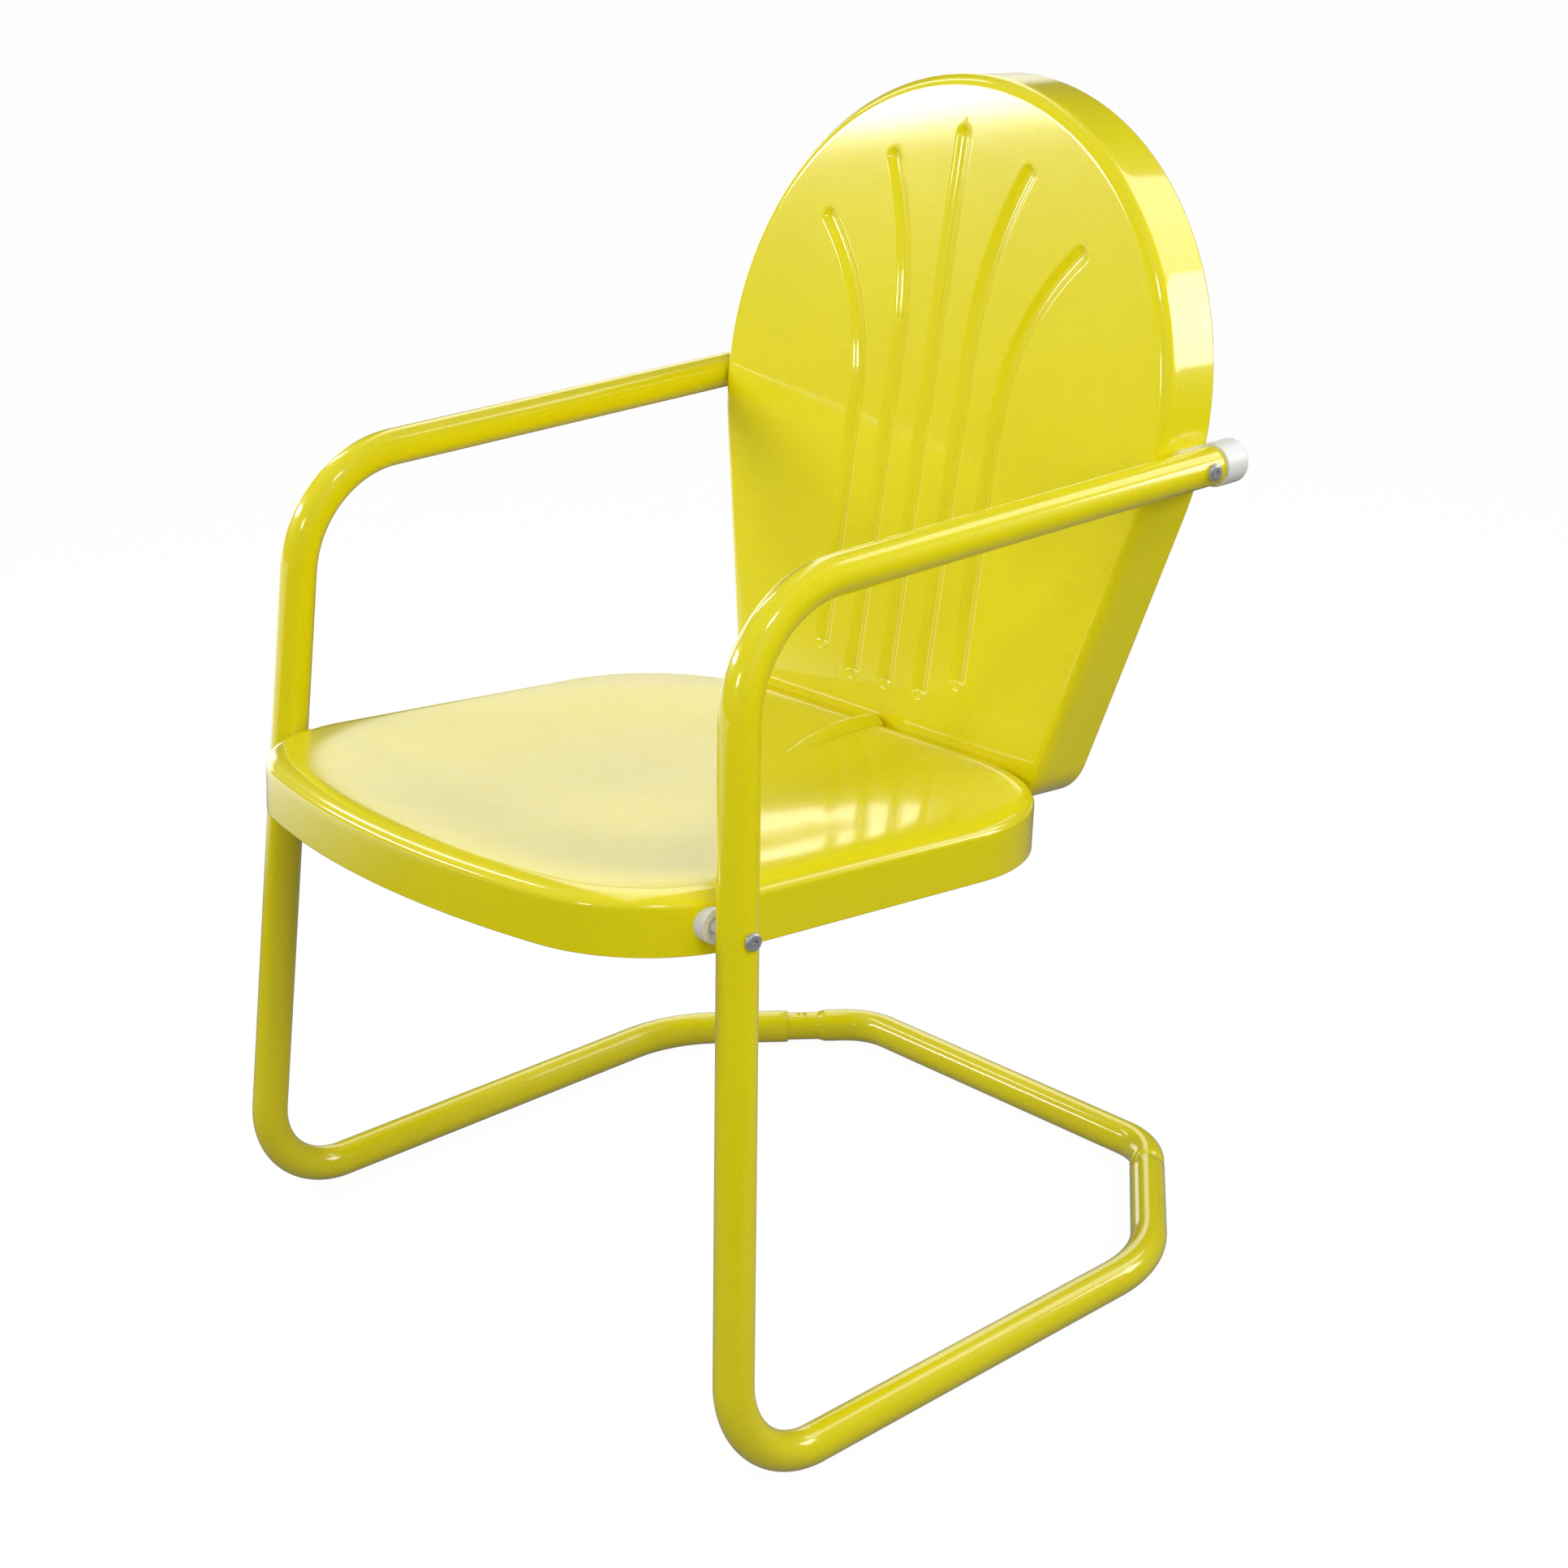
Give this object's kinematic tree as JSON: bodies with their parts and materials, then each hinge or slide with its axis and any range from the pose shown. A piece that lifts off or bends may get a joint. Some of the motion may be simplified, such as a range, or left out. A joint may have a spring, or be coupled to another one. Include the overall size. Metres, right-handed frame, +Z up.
{
  "type": "metal lawn chair",
  "caption": "Cantilever metal lawn chair: round-topped pressed back with fan flutes, dished seat, bent tube frame, white plastic caps and spacers.",
  "frame": {"origin": "on the floor under the middle of the whole chair's length and width", "axes": "+Z up, +Y towards the back of the chair, the sitter faces -Y, +X towards the sitter's left"},
  "size_m": [0.623, 0.6495, 0.8793],
  "materials": {
    "yellow_coat": "glossy yellow powder coat on steel",
    "white_plastic": "white moulded plastic with a soft gloss",
    "zinc": "bright zinc-plated steel"
  },
  "bodies": {
    "base": {"side_tube_left": "yellow_coat", "side_tube_right": "yellow_coat", "rear_crossbar": "yellow_coat"},
    "upper": {"back_pan": "yellow_coat", "seat_pan": "yellow_coat", "arm_cap_left": "white_plastic", "arm_cap_right": "white_plastic", "seat_spacer_left": "white_plastic", "seat_spacer_right": "white_plastic", "arm_screws": "zinc", "arm_washers": "zinc", "arm_nuts": "zinc", "seat_screws": "zinc", "seat_washers": "zinc", "seat_nuts": "zinc", "back_screws": "zinc", "back_washers": "zinc", "back_nuts": "zinc"}
  },
  "joints": [
    {"name": "frame_flex", "type": "hinge", "parent": "base", "child": "upper", "pos_m": [0, -0.252, 0.03], "axis": [-1, 0, 0], "range_deg": [-2, 3], "stiffness_Nm_per_rad": 3500, "springref_deg": -0.34, "deforming": ["side_tube_left", "side_tube_right"]}
  ]
}
